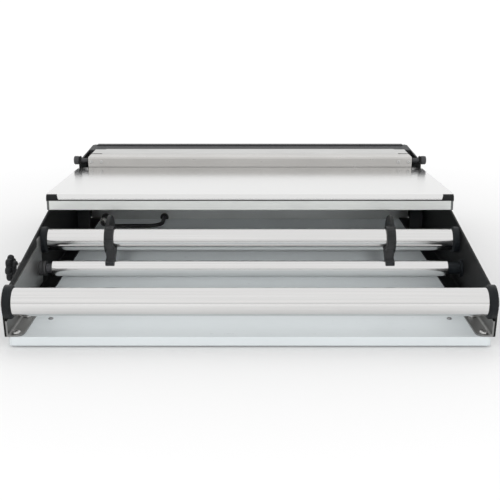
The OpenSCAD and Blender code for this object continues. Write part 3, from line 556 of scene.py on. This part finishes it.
# thumb screws: smooth stud and a head with fine grips
thumb = {
    "x": 242.5,
    "y": 437,
    "aboveFlapScrews": 1.1,
    "r": 6.0,
    "from": 0.3,
    "long": 7.6,
    "grips": 24,
    "gripShare": 0.015,
    "headShares": (
        (0.0, 0.76), (0.06, 0.9), (0.16, 0.985), (0.3, 1.0),
        (0.7, 1.0), (0.84, 0.985), (0.94, 0.9), (1.0, 0.76),
    ),
    "dish": ((0.1, 3.4), (0.5, 3.0)),
    "stud": 3.0,
    "in": 24.0,
    "tipLong": 0.6,
    "tipShare": 0.8,
    "points": 192,
    "sharp": 50,
}


def gripped(scale):
    wave = thumb["gripShare"]
    return lambda angle: thumb["r"] * scale * (1 - wave + wave * math.cos(thumb["grips"] * angle))


def thumbSkin():
    stud = thumb["stud"]
    tip = (-thumb["in"], stud * thumb["tipShare"])
    rings = roundRings([tip, (thumb["tipLong"] - thumb["in"], stud), (thumb["from"], stud)])
    for share, size in thumb["headShares"]:
        rings.append((thumb["from"] + share * thumb["long"], gripped(size)))
    rings += roundRings([(thumb["from"] + thumb["long"] - down, r) for down, r in thumb["dish"]])
    return skinOver(rings, thumb["points"])


hingeZ = flapScrewZ + thumb["aboveFlapScrews"]
for s, word in zip(bothSides, ("left", "right")):
    part = (thumbSkin(), facing(at(s * thumb["x"], thumb["y"], hingeZ), (s, 0, 0)))
    body = word + "_thumb_screw"
    makePiece(word + "ThumbHead", [part], "thumb_dark", body, "thumb_screw_" + word, thumb["sharp"])
print("screws ready")

# plain pale studio, in metres: the paper glows a little more from glowFrom to glowTo
studio = {
    "floor": 80.0,
    "world": 0.92,
    "floorTone": 0.84,
    "floorRoughness": 0.9,
    "floorGlow": 0.03,
    "farGlow": 0.3,
    "glowFrom": 0.35,
    "glowTo": 1.6,
    "bandLow": 0.78,
    "bandHeights": (0.1, 0.3),
    "bandDepths": (-0.3, 0.3),
}
floorZ = cadBox[0][2]
half = studio["floor"] / 2
corners = [(-half, -half, floorZ), (half, -half, floorZ), (half, half, floorZ), (-half, half, floorZ)]
mesh = bpy.data.meshes.new("floor")
mesh.from_pydata(corners, [], [(0, 1, 2, 3)])
floor = bpy.data.objects.new("floor", mesh)
bpy.context.scene.collection.objects.link(floor)


# 1 where the camera looks, straight or by way of a mirror or glass, and 0 for soft light
def seenByLens(tree):
    path = tree.nodes.new("ShaderNodeLightPath")
    last = path.outputs["Is Camera Ray"]
    for ray in ("Is Glossy Ray", "Is Transmission Ray"):
        last = joined(tree, "MAXIMUM", last, path.outputs[ray])
    return last


floorMaterial = bpy.data.materials.new("floorPaper")
floorMaterial.use_nodes = True
tree = floorMaterial.node_tree
paper = tree.nodes["Principled BSDF"]
paper.inputs["Base Color"].default_value = (studio["floorTone"],) * 3 + (1,)
paper.inputs["Roughness"].default_value = studio["floorRoughness"]
paper.inputs["Specular IOR Level"].default_value = 0.0
paper.inputs["Emission Color"].default_value = (1, 1, 1, 1)
spot = tree.nodes.new("ShaderNodeNewGeometry")
away = tree.nodes.new("ShaderNodeVectorMath")
away.operation = "LENGTH"
tree.links.new(spot.outputs["Position"], away.inputs[0])
glows = (studio["floorGlow"], studio["farGlow"])
brighter = spanOf(tree, away.outputs["Value"], *glows, studio["glowFrom"], studio["glowTo"])
glow = joined(tree, "MULTIPLY", seenByLens(tree), brighter)
tree.links.new(glow, paper.inputs["Emission Strength"])
mesh.materials.append(floorMaterial)

world = bpy.data.worlds.new("studio")
bpy.context.scene.world = world
world.use_nodes = True
tree = world.node_tree
air = tree.nodes["Background"]
air.inputs["Color"].default_value = (1, 1, 1, 1)
sky = tree.nodes.new("ShaderNodeTexCoord")
split = tree.nodes.new("ShaderNodeSeparateXYZ")
tree.links.new(sky.outputs["Generated"], split.inputs[0])

# reflections see a duller room low in front and a bright one above and behind
above = spanOf(tree, split.outputs["Z"], studio["bandLow"], 1.0, *studio["bandHeights"])
behind = spanOf(tree, split.outputs["Y"], 0.0, 1.0, *studio["bandDepths"])
room = joined(tree, "MAXIMUM", above, behind)
rays = tree.nodes.new("ShaderNodeLightPath")
dull = joined(tree, "MULTIPLY", spanOf(tree, room, -1.0, 0.0), rays.outputs["Is Glossy Ray"])
soft = spanOf(tree, seenByLens(tree), studio["world"], 1.0)
tree.links.new(joined(tree, "ADD", soft, dull), air.inputs["Strength"])


def softBox(name, place, aim, size, watts, spread=180):
    data = bpy.data.lights.new(name, "AREA")
    data.shape = "RECTANGLE"
    data.size, data.size_y = size
    data.energy = watts
    data.spread = math.radians(spread)
    lamp = bpy.data.objects.new(name, data)
    lamp.location = place
    lamp.rotation_euler = (Vector(aim) - Vector(place)).to_track_quat("-Z", "Y").to_euler()
    lamp.visible_glossy = False
    bpy.context.scene.collection.objects.link(lamp)


softBox("topBox", place=(0, 0.55, 1.5), aim=(0, -0.05, 0), size=(1.6, 1.0), watts=3)
softBox("frontBox", place=(0, -1.9, 0.85), aim=(0, 0.1, 0.02), size=(1.8, 0.5), watts=9)
# a narrow strip of light that falls between the rollers onto the base board
innerX = cameraSet["place"][0]
softBox("innerBox", (innerX, -0.75, 0.24), (innerX, -0.02, 0.011), size=(0.46, 0.02), watts=0.13, spread=14)
print("studio ready")
